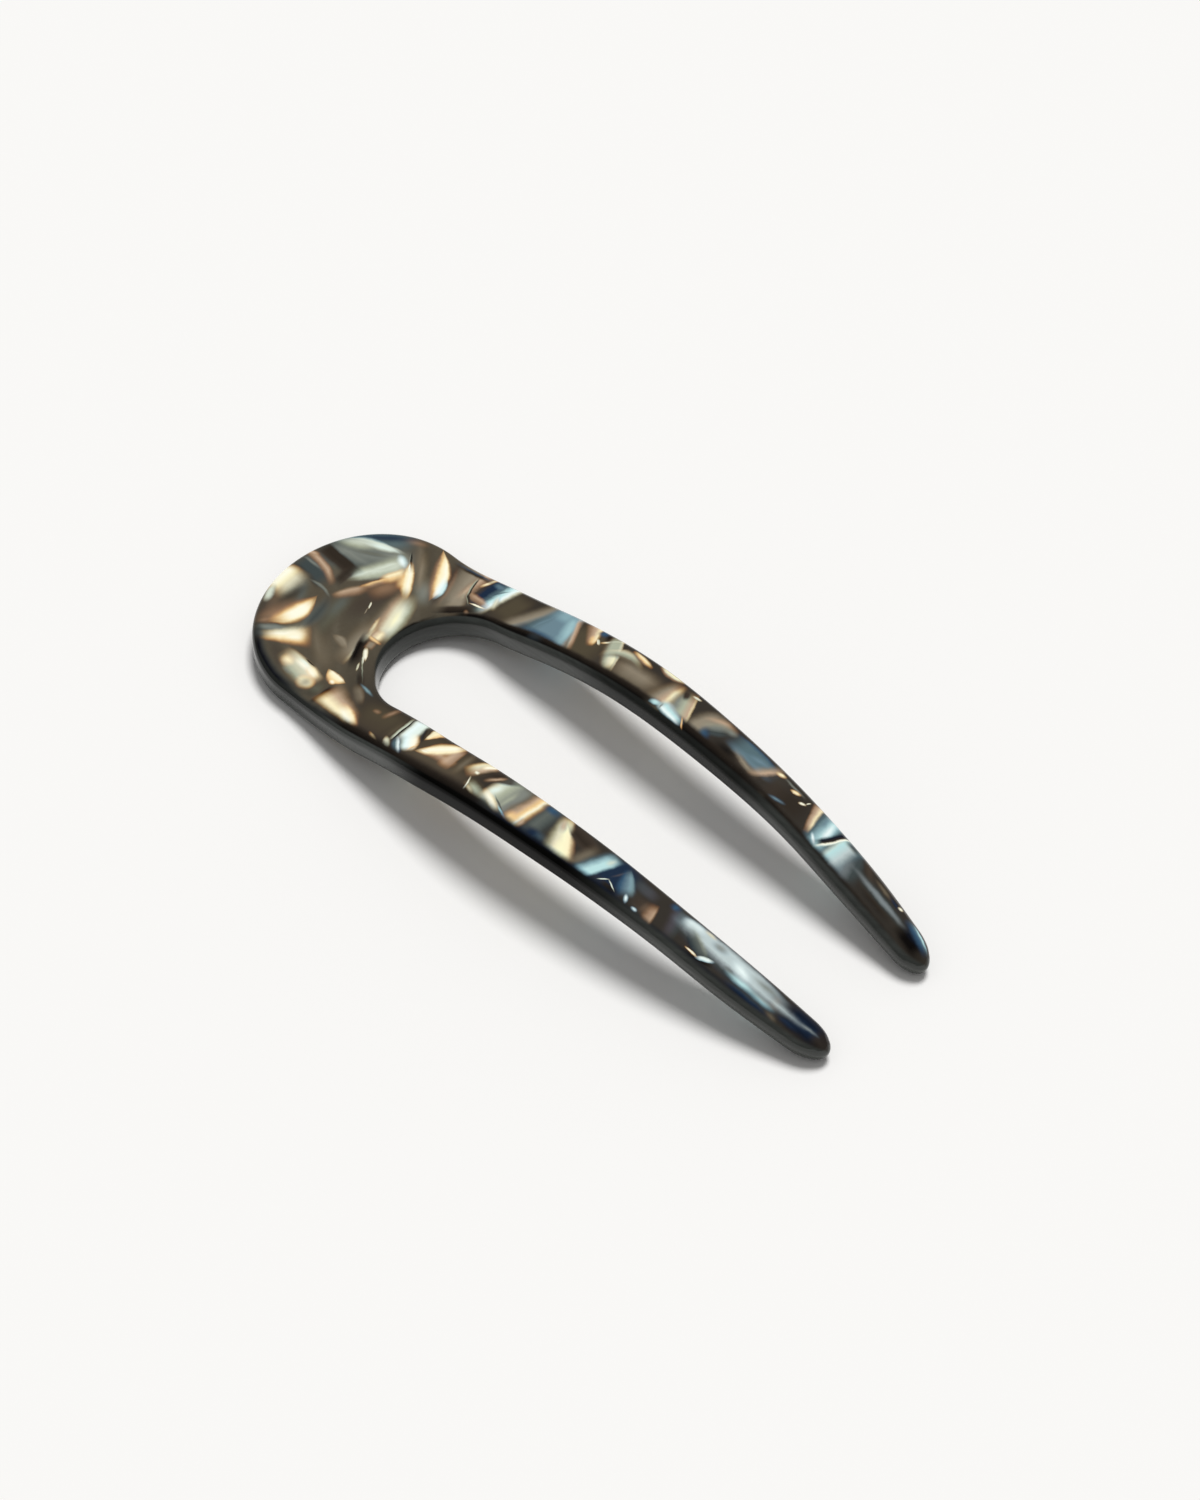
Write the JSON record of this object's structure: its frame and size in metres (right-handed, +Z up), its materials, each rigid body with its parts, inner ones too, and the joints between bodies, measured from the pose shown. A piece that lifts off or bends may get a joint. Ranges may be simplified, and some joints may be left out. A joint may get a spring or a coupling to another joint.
{
  "type": "french hair pin",
  "caption": "Arched U-shaped hair pin with a broad round head and slender tapering prongs, cut from one sheet of marbled pearl acetate and polished round at every edge.",
  "frame": {"origin": "on the table under the middle of the pin's bounding box", "axes": "+X from the head to the prong tips, +Y across the prongs, +Z up from the table that the pin lies on, with the arch upwards"},
  "size_m": [0.115, 0.0374, 0.0123],
  "materials": {
    "pearl_acetate": "polished cellulose acetate, dark olive brown with marbled pearl flakes in cream, copper and steel blue"
  },
  "bodies": {
    "root": {"hair_pin": "pearl_acetate"}
  },
  "joints": []
}
